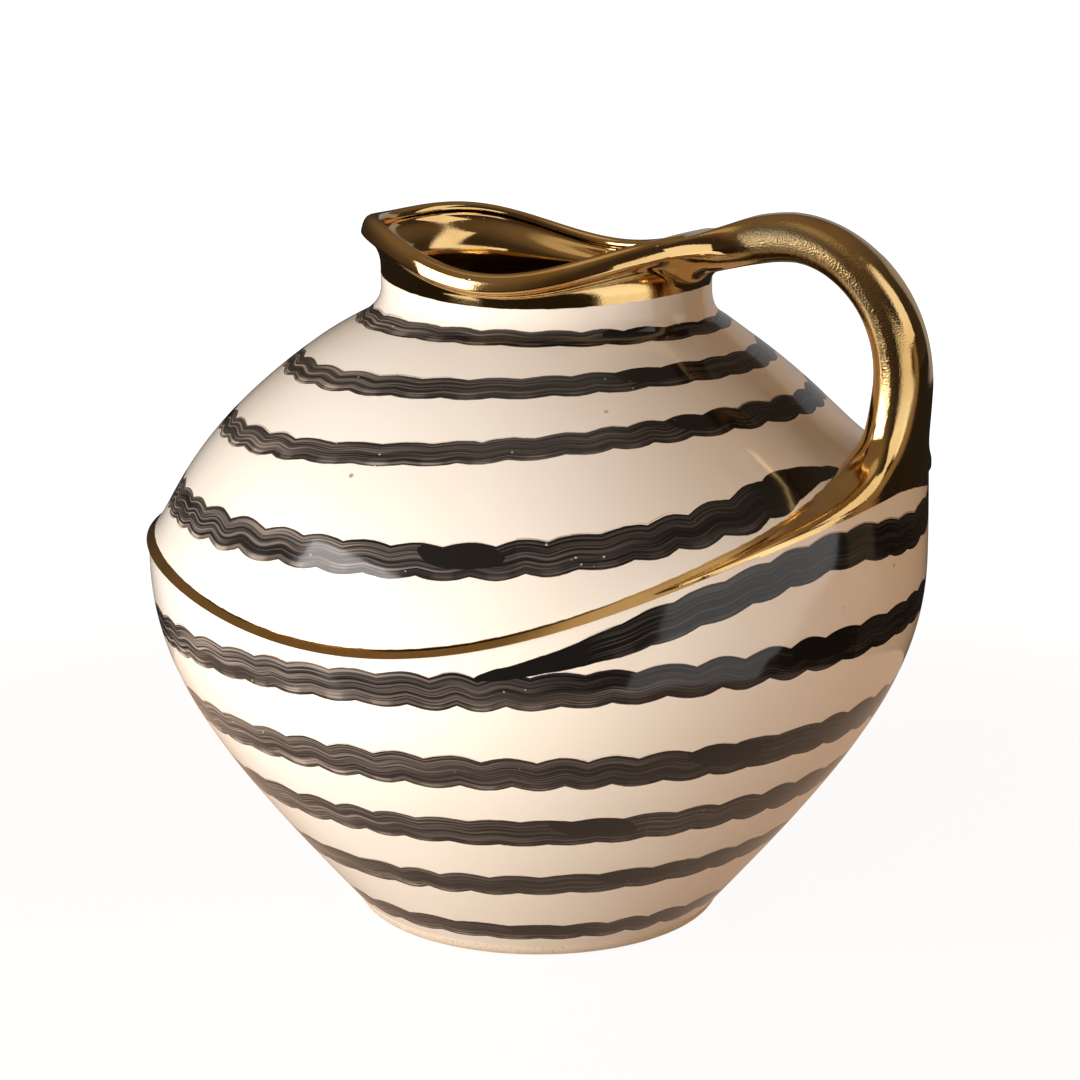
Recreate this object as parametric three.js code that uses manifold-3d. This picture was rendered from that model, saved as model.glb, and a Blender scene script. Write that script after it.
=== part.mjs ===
// Ceramic vase with a sweeping strap handle: a bowl, a domed shoulder with a neck, a foot ring,
// a band on the ledge where bowl and dome meet, a flared lip with a spout, and the handle.
// The pieces are luted together with slip before firing. Millimetres, +Z up, the axis of the
// body on Z, the handle towards +X and the spout towards -X.
import * as THREE from 'three';
import { mergeVertices } from 'three/addons/utils/BufferGeometryUtils.js';
import Module from 'manifold-3d';

const wasm = await Module();
wasm.setup();

// Bowl outline
const FOOT_RADIUS = 49.7;
const FOOT_SPLAY = 40.7; // degrees that the wall leans out at the foot
const FOOT_RUN = 68; // how far the outline keeps to that lean
const BELLY_RADIUS = 110;
const BELLY_HEIGHT = 105.6; // where the wall stands upright
const BELLY_RUN = 31; // how far the outline keeps upright below that
const WALL = 5;
const FLOOR = 7;

// Foot ring
const FOOT_HEIGHT = 4;
const FOOT_WIDTH = 9;
const FOOT_ROUND = 2.5;
const FOOT_GROOVE = 1; // depth of the key that seats the ring in the bowl

// Joint between the bowl and the shoulder
const SEAM_DROP = 7.2; // below the lowest part of the ledge
const SEAM_BEVEL = 2;

// Dome and neck
const DOME_DROP = 10.9; // below the belly height, where the dome's curve leaves the belly radius
const DOME_RUN = 41; // how far it keeps upright above that
const DOME_TOP_RUN = 3.75;
const DOME_LEAN = 0.7; // how far halfway up it stands off the axis away from the handle
const NECK_RADIUS = 46.1;
const NECK_RISE = 73.9; // height of the narrowest place above the belly height
const NECK_FILLET = 9.5;
const NECK_SWEEP = 63; // degrees of the fillet between dome and neck
const NECK_LEAN = 2.4; // how far the neck stands off the axis towards the handle
const LEAN_RUN = 15.5; // height below the narrowest place over which it leans over

// Ledge round the shoulder, where the belly's skirt stands proud of the dome: its height above
// the belly height is a cosine series in the angle from the handle, high there, low at the sides
const RIDGE_MEAN = 7.1;
const RIDGE_LEAN = 9.9;
const RIDGE_SADDLE = 10.7;
const RIDGE_THIRD = 1.5;
const RIDGE_FOURTH = -1.6;
const LEDGE_FILLET = 4.5; // height over which the sweep from ledge to dome dies away
const BAND_HEIGHT = 2.2;
const BAND_RISE = 4; // how much higher it climbs the sweep at the handle
const BAND_RISE_ANGLE = 35; // degrees over which that rise dies away
const BAND_BITE = 1; // depth of its rebate in the dome
const BAND_PROUD = 0.5;

// Lip: heights of its seat and of its rim above the neck, as cosine series like the ledge's
const SEAT_MEAN = 2.2;
const SEAT_LEAN = -1.6;
const SEAT_SADDLE = 1.7;
const RIM_MEAN = 15;
const RIM_LEAN = -1.4;
const RIM_SADDLE = 4.75;
const RIM_THIRD = 1.1;
const RIM_FOURTH = -1.5;
const RIM_TILT = -1; // sine term: one side of the rim is higher than the other
const LIP_FLARE = 5.4; // how far the rim stands out past the neck
const LIP_BEAD = 2.8; // radius of the rounded rim
const LIP_FOLD = 50; // degrees below level at which the rim turns into the neck
const LIP_HOLD = 0.7; // share of its height over which the outside keeps upright
const LIP_THROAT = 0.4; // share of its depth over which the inside keeps upright at each end

// Handle
const HANDLE_RISE = 23.5; // height of its highest place above the neck
const HANDLE_TOP_OUT = 22.5; // how far past the lip that place is
const HANDLE_PROUD = 3.6; // how far it reaches out past the belly
const HANDLE_DROP = 46; // from its highest place down to its furthest reach
const HANDLE_TOP_RUN = 15; // pulls that shape the bend from the top to the upright
const HANDLE_SIDE_RUN = 25;
const HANDLE_CLIMB = 20; // degrees that it climbs as it leaves the lip
const HANDLE_RIM_RISE = 0.4; // how far its top starts above the rim
const STRAP_WIDTH = 17; // before its ends spread
const STRAP_TOP_THICKNESS = 13;
const STRAP_BEND_THICKNESS = 12;
const STRAP_THICKNESS = 14;
const STRAP_SQUARENESS = 2.4; // power of the section's superellipse
const ROOT_SPREAD = 10; // how strongly the lower end spreads along the ledge
const ROOT_CREST = 1.6; // thickness outside the crest of the spread end
const ROOT_DEPTH = 22; // thickness inside it
const ROOT_HEIGHT = 8; // height over which the strap turns into the spread end
const ROOT_FOLLOW = 16; // height above the ledge up to which the strap slopes with it
const ROOT_FREE = 32; // height above the ledge from which it doesn't
const LIP_SPREAD = 8; // how strongly the upper end spreads along the lip
const LIP_BITE = 3; // how far the upper end starts inside the lip
const LIP_FOLLOW = 15; // distance over which the strap stops sloping with the rim

const LUTE = 0.3; // clearance of every slip joint

// Fineness of the facets
const ROUND_STEPS = 60;
const FOOT_STEPS = 4;
const BELLY_STEPS = 10;
const SKIRT_STEPS = 3;
const DOME_STEPS = 9;
const NECK_STEPS = 4;
const LIP_STEPS = 4;
const BEAD_STEPS = 6;
const STRAP_STEPS = 14;
const ROOT_STEPS = 12;
const BAND_STEPS = 4;
const SECTION_STEPS = 20;
const SWEEP_CROWDING = 1.6; // power that crowds the points of the sweep towards the ledge
const WELD = 1e-4; // corners closer than this are one
const HALVING_END = 1e-7;

const GLAZE = { color: 0xf1e4d4, roughness: 0.18, metalness: 0 };
const GOLD = { color: 0xa97f3c, roughness: 0.16, metalness: 1 };
const BISCUIT = { color: 0xd9cbb8, roughness: 0.85, metalness: 0 };

const radians = THREE.MathUtils.degToRad;
const { clamp, inverseLerp, lerp, smoothstep } = THREE.MathUtils;
const point = (r, z) => new THREE.Vector2(r, z);
const turnAngles = Array.from({ length: ROUND_STEPS }, (_, i) => (2 * Math.PI * i) / ROUND_STEPS);

const neckHeight = BELLY_HEIGHT + NECK_RISE;
const lipRadius = NECK_RADIUS + LIP_FLARE;
const handleTop = neckHeight + HANDLE_RISE;

// Value of a cosine series: its mean, then one amplitude for each harmonic of the angle
function waveAt(angle, terms) {
  return terms.reduce((sum, amplitude, harmonic) => sum + amplitude * Math.cos(harmonic * angle), 0);
}

const ridgeTerms = [BELLY_HEIGHT + RIDGE_MEAN, RIDGE_LEAN, RIDGE_SADDLE, RIDGE_THIRD, RIDGE_FOURTH];
const seatTerms = [neckHeight + SEAT_MEAN, SEAT_LEAN, SEAT_SADDLE];
const rimTerms = [neckHeight + RIM_MEAN, RIM_LEAN, RIM_SADDLE, RIM_THIRD, RIM_FOURTH];
const ridgeAt = (angle) => waveAt(angle, ridgeTerms);
const seatAt = (angle) => waveAt(angle, seatTerms);
const rimAt = (angle) => waveAt(angle, rimTerms) + RIM_TILT * Math.sin(angle);

// How far the body stands off the axis towards the handle: the dome a little back, the neck forward
function leanAt(z) {
  const upDome = clamp(inverseLerp(BELLY_HEIGHT, neckHeight, z), 0, 1);
  const neckLean = NECK_LEAN * smoothstep(z, neckHeight - LEAN_RUN, neckHeight);
  return neckLean - DOME_LEAN * Math.sin(Math.PI * upDome) ** 2;
}

// Outline curves of the body in radius and height, from the table up
const splay = radians(FOOT_SPLAY);
const bellyCurve = new THREE.CubicBezierCurve(
  point(FOOT_RADIUS, 0),
  point(FOOT_RADIUS + FOOT_RUN * Math.sin(splay), FOOT_RUN * Math.cos(splay)),
  point(BELLY_RADIUS, BELLY_HEIGHT - BELLY_RUN),
  point(BELLY_RADIUS, BELLY_HEIGHT),
);
const sweep = radians(NECK_SWEEP);
const filletCentre = point(NECK_RADIUS + NECK_FILLET, neckHeight);
const domeTop = point(
  filletCentre.x - NECK_FILLET * Math.cos(sweep),
  filletCentre.y - NECK_FILLET * Math.sin(sweep),
);
const domeFoot = BELLY_HEIGHT - DOME_DROP;
const domeCurve = new THREE.CubicBezierCurve(
  point(BELLY_RADIUS, domeFoot),
  point(BELLY_RADIUS, domeFoot + DOME_RUN),
  point(domeTop.x + DOME_TOP_RUN * Math.sin(sweep), domeTop.y - DOME_TOP_RUN * Math.cos(sweep)),
  domeTop,
);

// Place along a rising curve at which it reaches a height, by halving
function placeAtHeight(curve, z) {
  let low = 0;
  let high = 1;
  while (high - low > HALVING_END) {
    const middle = (low + high) / 2;
    if (curve.getPoint(middle).y < z) low = middle;
    else high = middle;
  }
  return (low + high) / 2;
}

// Points on a rising curve from one place to another, moved outwards by a distance
function curvePoints(curve, from, to, steps, outwards = 0) {
  return Array.from({ length: steps + 1 }, (_, i) => {
    const place = lerp(from, to, i / steps);
    const tangent = curve.getTangent(place);
    return curve.getPoint(place).add(point(tangent.y, -tangent.x).multiplyScalar(outwards));
  });
}

// Points on the fillet between dome and neck, from just above the dome's top to the neck
function neckPoints(outwards = 0) {
  const radius = NECK_FILLET - outwards;
  return Array.from({ length: NECK_STEPS }, (_, i) => {
    const angle = sweep * (1 - (i + 1) / NECK_STEPS);
    return point(filletCentre.x - radius * Math.cos(angle), filletCentre.y - radius * Math.sin(angle));
  });
}

const domeRadius = (z) => domeCurve.getPoint(placeAtHeight(domeCurve, z)).x;

// Top of the band: a little above the ledge, and higher up the sweep towards the handle
function bandTopAt(angle) {
  const fromHandle = Math.atan2(Math.sin(angle), Math.cos(angle)) / radians(BAND_RISE_ANGLE);
  return ridgeAt(angle) + BAND_HEIGHT + BAND_RISE * Math.exp(-(fromHandle ** 2));
}

// Radius outside the dome and the concave sweep that joins it to the edge of the ledge
function sweptRadius(angle, z) {
  const ridge = ridgeAt(angle);
  const proud = BELLY_RADIUS - domeRadius(ridge);
  return domeRadius(z) + proud * Math.exp(-(z - ridge) / LEDGE_FILLET);
}

// Points on that sweep from one height to another, closer together near the ledge
function sweptPoints(angle, from, to, steps) {
  return Array.from({ length: steps + 1 }, (_, i) => {
    const z = lerp(from, to, (i / steps) ** SWEEP_CROWDING);
    return point(sweptRadius(angle, z), z);
  });
}

// Outer side of the lip from its seat round the rim to a last direction, moved outwards
function lipPoints(angle, last, outwards = 0) {
  const fold = radians(LIP_FOLD);
  const bead = LIP_BEAD + outwards;
  const centre = point(lipRadius - LIP_BEAD, rimAt(angle) - LIP_BEAD);
  const foot = point(NECK_RADIUS + outwards, seatAt(angle) + LUTE);
  const turn = point(centre.x + bead * Math.cos(fold), centre.y - bead * Math.sin(fold));
  const flare = new THREE.QuadraticBezierCurve(foot, point(foot.x, lerp(foot.y, turn.y, LIP_HOLD)), turn);
  const rim = Array.from({ length: BEAD_STEPS }, (_, i) => {
    const around = lerp(-fold, last, (i + 1) / BEAD_STEPS);
    return point(centre.x + bead * Math.cos(around), centre.y + bead * Math.sin(around));
  });
  return [...flare.getPoints(LIP_STEPS), ...rim];
}

// Geometry of a skin over rings of points that all have the same count, with its shared
// corners merged; the rings either close on themselves or are capped at both ends
function skin(rings, closed) {
  const count = rings[0].length;
  const corners = rings.flat();
  const faces = [];
  const lastRing = closed ? rings.length : rings.length - 1;
  for (let i = 0; i < lastRing; i += 1) {
    const here = i * count;
    const next = ((i + 1) % rings.length) * count;
    for (let k = 0; k < count; k += 1) {
      const above = (k + 1) % count;
      faces.push(here + k, next + k, next + above, here + k, next + above, here + above);
    }
  }
  if (!closed) {
    const tail = corners.length - count;
    for (let k = 1; k + 1 < count; k += 1) {
      faces.push(0, k, k + 1, tail, tail + k + 1, tail + k);
    }
  }
  const places = corners.flatMap((p) => p.toArray());
  const geometry = new THREE.BufferGeometry();
  geometry.setAttribute('position', new THREE.Float32BufferAttribute(places, 3));
  geometry.setIndex(faces);
  return mergeVertices(geometry, WELD);
}

// A turned piece whose section, a closed loop in radius and height, changes with the angle
function turned(sectionAt) {
  const rings = turnAngles.map((angle) =>
    sectionAt(angle).map(
      (p) => new THREE.Vector3(p.x * Math.cos(angle) + leanAt(p.y), p.x * Math.sin(angle), p.y),
    ),
  );
  return skin(rings, true);
}

// A plain revolved piece, its outline drawn bottom first and turned upright
function revolved(outline) {
  return new THREE.LatheGeometry(outline, ROUND_STEPS).rotateX(Math.PI / 2);
}

function solidFrom(geometry) {
  const bare = geometry.clone();
  bare.deleteAttribute('normal');
  bare.deleteAttribute('uv');
  const merged = mergeVertices(bare, WELD);
  return new wasm.Manifold(
    new wasm.Mesh({
      numProp: 3,
      vertProperties: new Float32Array(merged.attributes.position.array),
      triVerts: new Uint32Array(merged.index.array),
    }),
  );
}

function geometryFrom(solid) {
  const mesh = solid.getMesh();
  const geometry = new THREE.BufferGeometry();
  geometry.setAttribute('position', new THREE.Float32BufferAttribute(mesh.vertProperties, 3));
  geometry.setIndex(Array.from(mesh.triVerts));
  return geometry;
}

const seamHeight = Math.min(...turnAngles.map(ridgeAt)) - SEAM_DROP;
const seamPlace = placeAtHeight(bellyCurve, seamHeight);
const seamInner = bellyCurve.getPoint(seamPlace).x - WALL;

// Bowl: an open shell with a flat floor, grooved below for the foot ring, bevelled at its top
function bowl() {
  const footPlace = placeAtHeight(bellyCurve, FOOT_HEIGHT);
  const outside = curvePoints(bellyCurve, footPlace, seamPlace, BELLY_STEPS);
  const floorHeight = FOOT_HEIGHT + FLOOR;
  const inside = curvePoints(bellyCurve, footPlace, seamPlace, BELLY_STEPS, -WALL);
  const wallInside = inside.filter((p) => p.y > floorHeight + WALL).reverse();
  const corner = wallInside.at(-1);
  const edge = outside[0].x;
  const keyOuter = edge - FOOT_ROUND;
  const keyInner = edge - FOOT_WIDTH;
  wallInside[0] = point(seamInner, seamHeight + SEAM_BEVEL);
  return revolved([
    point(0, FOOT_HEIGHT),
    point(keyInner - LUTE, FOOT_HEIGHT),
    point(keyInner - LUTE, FOOT_HEIGHT + FOOT_GROOVE),
    point(keyOuter + LUTE, FOOT_HEIGHT + FOOT_GROOVE),
    point(keyOuter + LUTE, FOOT_HEIGHT),
    ...outside,
    ...wallInside,
    point(corner.x - WALL, floorHeight),
    point(0, floorHeight),
  ]);
}

// Foot ring: a turned ring keyed into the groove under the bowl, with a rounded outer edge
function footRing() {
  const edge = bellyCurve.getPoint(placeAtHeight(bellyCurve, FOOT_HEIGHT)).x;
  const inner = edge - FOOT_WIDTH;
  const keyOuter = edge - FOOT_ROUND;
  const top = FOOT_HEIGHT - LUTE;
  const keyTop = FOOT_HEIGHT + FOOT_GROOVE - LUTE;
  const round = new THREE.QuadraticBezierCurve(
    point(edge - 2 * FOOT_ROUND, 0),
    point(edge - FOOT_ROUND / 2, 0),
    point(edge - LUTE, top),
  );
  return revolved([
    point(inner, 0),
    ...round.getPoints(FOOT_STEPS),
    point(keyOuter, top),
    point(keyOuter, keyTop),
    point(inner, keyTop),
    point(inner, 0),
  ]);
}

// Shoulder: the skirt that carries on the bowl, the ledge with its rebate, the dome and the neck
function shoulder() {
  const inside = [...curvePoints(domeCurve, 0, 1, DOME_STEPS, -WALL).slice(1), ...neckPoints(-WALL)];
  return turned((angle) => {
    const ridge = ridgeAt(angle);
    const bandTop = bandTopAt(angle);
    const dome = sweptPoints(angle, bandTop, domeTop.y, DOME_STEPS);
    const rebate = dome[0].x - BAND_BITE;
    const skirt = Array.from({ length: SKIRT_STEPS + 1 }, (_, i) => {
      const z = lerp(seamHeight + LUTE, ridge, i / SKIRT_STEPS);
      const place = placeAtHeight(bellyCurve, Math.min(z, BELLY_HEIGHT));
      return point(bellyCurve.getPoint(place).x, z);
    });
    return [
      point(seamInner, seamHeight + SEAM_BEVEL + LUTE),
      ...skirt,
      point(rebate, ridge),
      point(rebate, bandTop),
      ...dome,
      ...neckPoints(),
      point(NECK_RADIUS, seatAt(angle)),
      point(NECK_RADIUS - WALL, seatAt(angle)),
      ...inside.toReversed(),
    ];
  });
}

// Band: a coil laid in the rebate, with a rounded outer edge and a top that follows the sweep
function ridgeBand() {
  return turned((angle) => {
    const bottom = ridgeAt(angle) + LUTE;
    const top = bandTopAt(angle) - LUTE;
    const crest = ridgeAt(angle) + BAND_HEIGHT / 2;
    const rebate = sweptRadius(angle, bandTopAt(angle)) - BAND_BITE;
    return [
      point(rebate + LUTE, bottom),
      point(BELLY_RADIUS, bottom),
      point(BELLY_RADIUS + BAND_PROUD, (bottom + crest) / 2),
      ...sweptPoints(angle, crest, top, BAND_STEPS),
      point(rebate + LUTE, top),
    ];
  });
}

// Lip: a ring that flares from the neck to a rounded rim, wavy in height, with the spout high
function lip() {
  return turned((angle) => {
    const outside = lipPoints(angle, Math.PI);
    const seat = seatAt(angle) + LUTE;
    const edge = outside.at(-1);
    const inner = point(NECK_RADIUS - WALL, seat);
    const inside = new THREE.CubicBezierCurve(
      edge,
      point(edge.x, lerp(edge.y, seat, LIP_THROAT)),
      point(inner.x, lerp(seat, edge.y, LIP_THROAT)),
      inner,
    );
    return [...outside, ...inside.getPoints(LIP_STEPS).slice(1)];
  });
}

// Everything that the handle is set against, grown by the clearance of its joints, and the
// room over the mouth
function handleSeat() {
  const clear = 2 * BELLY_RADIUS;
  return turned((angle) => {
    const ledge = ridgeAt(angle) + BAND_HEIGHT / 2;
    const sides = [...sweptPoints(angle, ledge, domeTop.y, 2 * DOME_STEPS), ...neckPoints()];
    const lipOutside = lipPoints(angle, Math.PI / 2, LUTE);
    return [
      point(0, seamHeight),
      point(clear, seamHeight),
      point(clear, ledge + LUTE),
      ...sides.map((p) => point(p.x + LUTE, p.y + LUTE)),
      ...lipOutside,
      point(lipOutside.at(-1).x, handleTop),
      point(0, handleTop),
    ];
  });
}

// Middle line of the handle in radius and height, from inside the lip to the ledge; the plain
// stretches pull their ends by a third of their run
function handleLine() {
  const climb = radians(HANDLE_CLIMB);
  const start = point(
    lipRadius + NECK_LEAN - LIP_BITE,
    rimAt(0) + HANDLE_RIM_RISE - STRAP_TOP_THICKNESS / 2,
  );
  const top = point(lipRadius + HANDLE_TOP_OUT, handleTop - STRAP_TOP_THICKNESS / 2);
  const side = point(BELLY_RADIUS + HANDLE_PROUD - STRAP_THICKNESS / 2, handleTop - HANDLE_DROP);
  const root = point(BELLY_RADIUS - ROOT_CREST, ridgeAt(0) + BAND_HEIGHT / 2);
  const rise = (top.x - start.x) / 3;
  const drop = (side.y - root.y) / 3;
  const over = new THREE.CubicBezierCurve(
    start,
    point(start.x + rise * Math.cos(climb), start.y + rise * Math.sin(climb)),
    point(top.x - rise, top.y),
    top,
  );
  const bend = new THREE.CubicBezierCurve(
    top,
    point(top.x + HANDLE_TOP_RUN, top.y),
    point(side.x, side.y + HANDLE_SIDE_RUN),
    side,
  );
  const down = new THREE.CubicBezierCurve(
    side,
    point(side.x, side.y - drop),
    point(root.x, root.y + drop),
    root,
  );
  return { over, bend, down };
}

// One loop of the handle's skin: a superellipse across the middle line, wrapped round the
// axis, wide and drawn out along the lip at the upper end and along the ledge at the lower
function handleLoop(curve, place, thickness, start) {
  const middle = curve.getPoint(place);
  const tangent = curve.getTangent(place);
  const normal = point(-tangent.y, tangent.x);
  const height = middle.y - ridgeAt(0);
  const away = middle.distanceTo(start);
  const rooted = tangent.y < 0 ? 1 / (1 + (height / ROOT_HEIGHT) ** 2) : 0;
  const halfWidth = STRAP_WIDTH / 2 + ROOT_SPREAD ** 2 / height + LIP_SPREAD ** 2 / (away + LIP_BITE);
  const outer = lerp(thickness / 2, ROOT_CREST, rooted);
  const inner = lerp(thickness / 2, ROOT_DEPTH, rooted);
  const alongRidge = 1 - smoothstep(height, ROOT_FOLLOW, ROOT_FREE);
  const alongRim = 1 - smoothstep(away, 0, LIP_FOLLOW);
  return Array.from({ length: SECTION_STEPS }, (_, k) => {
    const around = (2 * Math.PI * k) / SECTION_STEPS;
    const out = Math.sign(Math.cos(around)) * Math.abs(Math.cos(around)) ** (2 / STRAP_SQUARENESS);
    const side = Math.sign(Math.sin(around)) * Math.abs(Math.sin(around)) ** (2 / STRAP_SQUARENESS);
    const across = out > 0 ? out * outer : out * inner;
    const angle = (side * halfWidth) / middle.x;
    const radius = middle.x + across * normal.x;
    const fall = alongRidge * (ridgeAt(angle) - ridgeAt(0)) + alongRim * (rimAt(angle) - rimAt(0));
    return new THREE.Vector3(
      radius * Math.cos(angle),
      radius * Math.sin(angle),
      middle.y + across * normal.y + fall,
    );
  });
}

// Thickness of the strap along its bend, thinnest halfway
function bendThickness(place) {
  const thinning = (STRAP_TOP_THICKNESS + STRAP_THICKNESS) / 2 - STRAP_BEND_THICKNESS;
  return lerp(STRAP_TOP_THICKNESS, STRAP_THICKNESS, place) - 4 * thinning * place * (1 - place);
}

// Handle: the loops from lip to ledge, close together at the root, cut to fit its seat
function handle() {
  const { over, bend, down } = handleLine();
  const start = over.getPoint(0);
  const loops = [];
  for (let i = 0; i < STRAP_STEPS; i += 1) {
    loops.push(handleLoop(over, i / STRAP_STEPS, STRAP_TOP_THICKNESS, start));
  }
  for (let i = 0; i < STRAP_STEPS; i += 1) {
    const place = i / STRAP_STEPS;
    loops.push(handleLoop(bend, place, bendThickness(place), start));
  }
  for (let i = 0; i <= ROOT_STEPS; i += 1) {
    loops.push(handleLoop(down, Math.sin((Math.PI / 2) * (i / ROOT_STEPS)), STRAP_THICKNESS, start));
  }
  return geometryFrom(solidFrom(skin(loops, false)).subtract(solidFrom(handleSeat())));
}

function piece(name, geometry, finish) {
  const mesh = new THREE.Mesh(geometry, new THREE.MeshStandardMaterial(finish));
  mesh.name = name;
  return mesh;
}

const vase = new THREE.Group();
vase.add(
  piece('foot_ring', footRing(), BISCUIT),
  piece('bowl', bowl(), GLAZE),
  piece('shoulder', shoulder(), GLAZE),
  piece('ridge_band', ridgeBand(), GOLD),
  piece('lip', lip(), GOLD),
  piece('handle', handle(), GOLD),
);

export default vase;
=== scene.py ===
import bpy
import numpy as np
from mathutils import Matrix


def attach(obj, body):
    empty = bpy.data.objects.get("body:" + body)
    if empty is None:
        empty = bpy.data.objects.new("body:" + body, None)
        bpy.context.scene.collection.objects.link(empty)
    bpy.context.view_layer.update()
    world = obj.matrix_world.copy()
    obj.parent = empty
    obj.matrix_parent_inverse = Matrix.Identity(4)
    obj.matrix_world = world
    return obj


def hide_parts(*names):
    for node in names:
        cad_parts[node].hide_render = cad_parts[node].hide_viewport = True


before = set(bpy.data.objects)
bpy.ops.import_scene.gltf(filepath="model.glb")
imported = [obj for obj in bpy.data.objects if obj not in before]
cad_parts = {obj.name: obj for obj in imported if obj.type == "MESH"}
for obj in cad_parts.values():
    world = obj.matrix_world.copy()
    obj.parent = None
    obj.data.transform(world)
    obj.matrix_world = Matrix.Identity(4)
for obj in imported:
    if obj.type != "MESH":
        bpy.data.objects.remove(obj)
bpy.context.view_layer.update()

# Foot ring
# The turned clay ring that the vase stands on, keyed into a groove under the bowl with slip.
# It is wiped clean of glaze before firing, so it shows bare buff biscuit with fine grit in it.
MM = 0.001
TURN_STEPS, LINE_STEPS = 360, 2001
SHARP_CORNER = np.radians(38)
FOOT_RADIUS, FOOT_SPLAY, FOOT_RUN = 49.7, np.radians(40.7), 68
FOOT_HEIGHT, FOOT_WIDTH, FOOT_ROUND, FOOT_KEY, FOOT_CHAMFER = 4, 9, 2.5, 1, 0.8
BELLY_RADIUS, BELLY_HEIGHT, BELLY_RUN = 110, 105.6, 31
NECK_HEIGHT, NECK_LEAN, NECK_LEAN_FROM, DOME_LEAN = 179.5, 2.4, 164, 0.7
BISCUIT, BISCUIT_PALE = (0.74, 0.64, 0.53, 1), (0.8, 0.71, 0.6, 1)
BISCUIT_GRIT = (0.5, 0.38, 0.28, 1)

angles = np.linspace(-np.pi, np.pi, TURN_STEPS, endpoint=False)


def blend(corners, share):
    """Repeated straight blends between neighbouring corners, down to one point."""
    while len(corners) > 1:
        corners = [here + (there - here) * share for here, there in zip(corners, corners[1:])]
    return corners[0]


def bezier(corners, places):
    """Curve of blends between its corners, which may differ with the angle, at places from 0 to 1."""
    points = [np.asarray(corner, float)[..., None, :] for corner in corners]
    return blend(points, np.asarray(places, float)[:, None])


def smooth(value, low, high):
    """Cubic step: 0 below low, 1 above high, level at both."""
    share = np.clip((value - low) / (high - low), 0, 1)
    return share * share * (3 - 2 * share)


def skin(name, grid, ring_closed=True, poles=()):
    """Mesh over a grid of points in millimetres: a quad between neighbouring rows and columns.

    The columns close on themselves, and so do the rows unless ring_closed is false, when the two
    end loops are capped. With poles, the columns are open and each end closes on one point.
    """
    rows, columns = grid.shape[:2]
    index = np.arange(rows * columns).reshape(rows, columns)
    here = index if ring_closed else index[:-1]
    beyond = np.roll(index, -1, axis=0) if ring_closed else index[1:]
    corners = [here, beyond, np.roll(beyond, -1, axis=1), np.roll(here, -1, axis=1)]
    quads = np.stack(corners, axis=-1)
    if poles:
        quads = quads[:, :-1]
    faces = quads.reshape(-1, 4).tolist()
    points = grid.reshape(-1, 3)
    if poles:
        first = np.full(rows, len(points))
        around = np.roll(index, -1, axis=0)
        faces += np.stack([first, around[:, 0], index[:, 0]], axis=-1).tolist()
        faces += np.stack([first + 1, index[:, -1], around[:, -1]], axis=-1).tolist()
        points = np.vstack([points, poles])
    elif not ring_closed:
        faces += [index[0].tolist(), index[-1][::-1].tolist()]
    mesh = bpy.data.meshes.new(name)
    mesh.from_pydata(points * MM, [], faces)
    mesh.shade_smooth()
    mesh.set_sharp_from_angle(angle=SHARP_CORNER)
    piece = bpy.data.objects.new(name, mesh)
    bpy.context.scene.collection.objects.link(piece)
    return piece


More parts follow.
